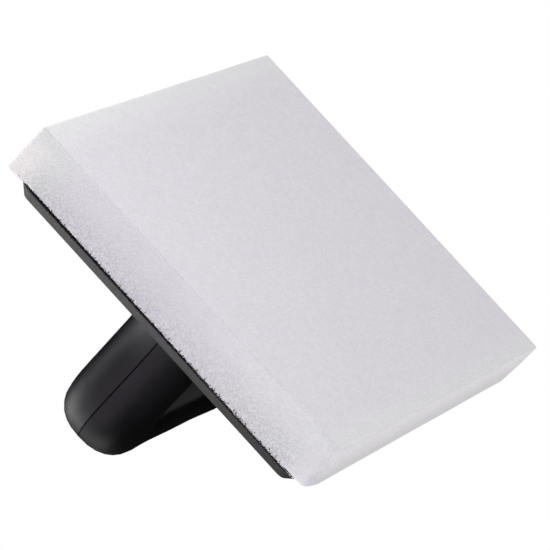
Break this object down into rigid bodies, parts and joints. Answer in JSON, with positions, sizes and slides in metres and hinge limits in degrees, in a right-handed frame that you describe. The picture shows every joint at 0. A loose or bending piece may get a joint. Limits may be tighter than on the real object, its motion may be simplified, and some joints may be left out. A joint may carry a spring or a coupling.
{
  "type": "sanding block",
  "caption": "Rectangular hand block: soft white foam pad on a hook sheet, stiff bevelled backing plate and a hollow lengthwise D-handle.",
  "frame": {"origin": "centre of the pad's working face, which is the bottom of the block", "axes": "+X along the block and its handle, +Y across it, +Z from the working face up through the plate to the handle"},
  "size_m": [0.23, 0.15, 0.0942],
  "materials": {
    "pad_foam": "matt open-celled white foam",
    "hook_nylon": "black bristled hook sheet",
    "plate_moulding": "dark grey moulded, fine matt grain",
    "handle_moulding": "satin black moulded",
    "screw_steel": "plain steel"
  },
  "bodies": {
    "pad": {"pad": "pad_foam"},
    "holder": {"hook_sheet": "hook_nylon", "backing_plate": "plate_moulding", "handle_shell_left": "handle_moulding", "handle_shell_right": "handle_moulding", "plate_screw_1": "screw_steel", "plate_screw_2": "screw_steel", "plate_screw_3": "screw_steel", "plate_screw_4": "screw_steel", "shell_screw_1": "screw_steel", "shell_screw_2": "screw_steel", "shell_screw_3": "screw_steel"}
  },
  "joints": [
    {"name": "pad_release", "type": "slide", "parent": "pad", "child": "holder", "axis": [0, 0, 1], "range_m": [0, 0.025]}
  ]
}
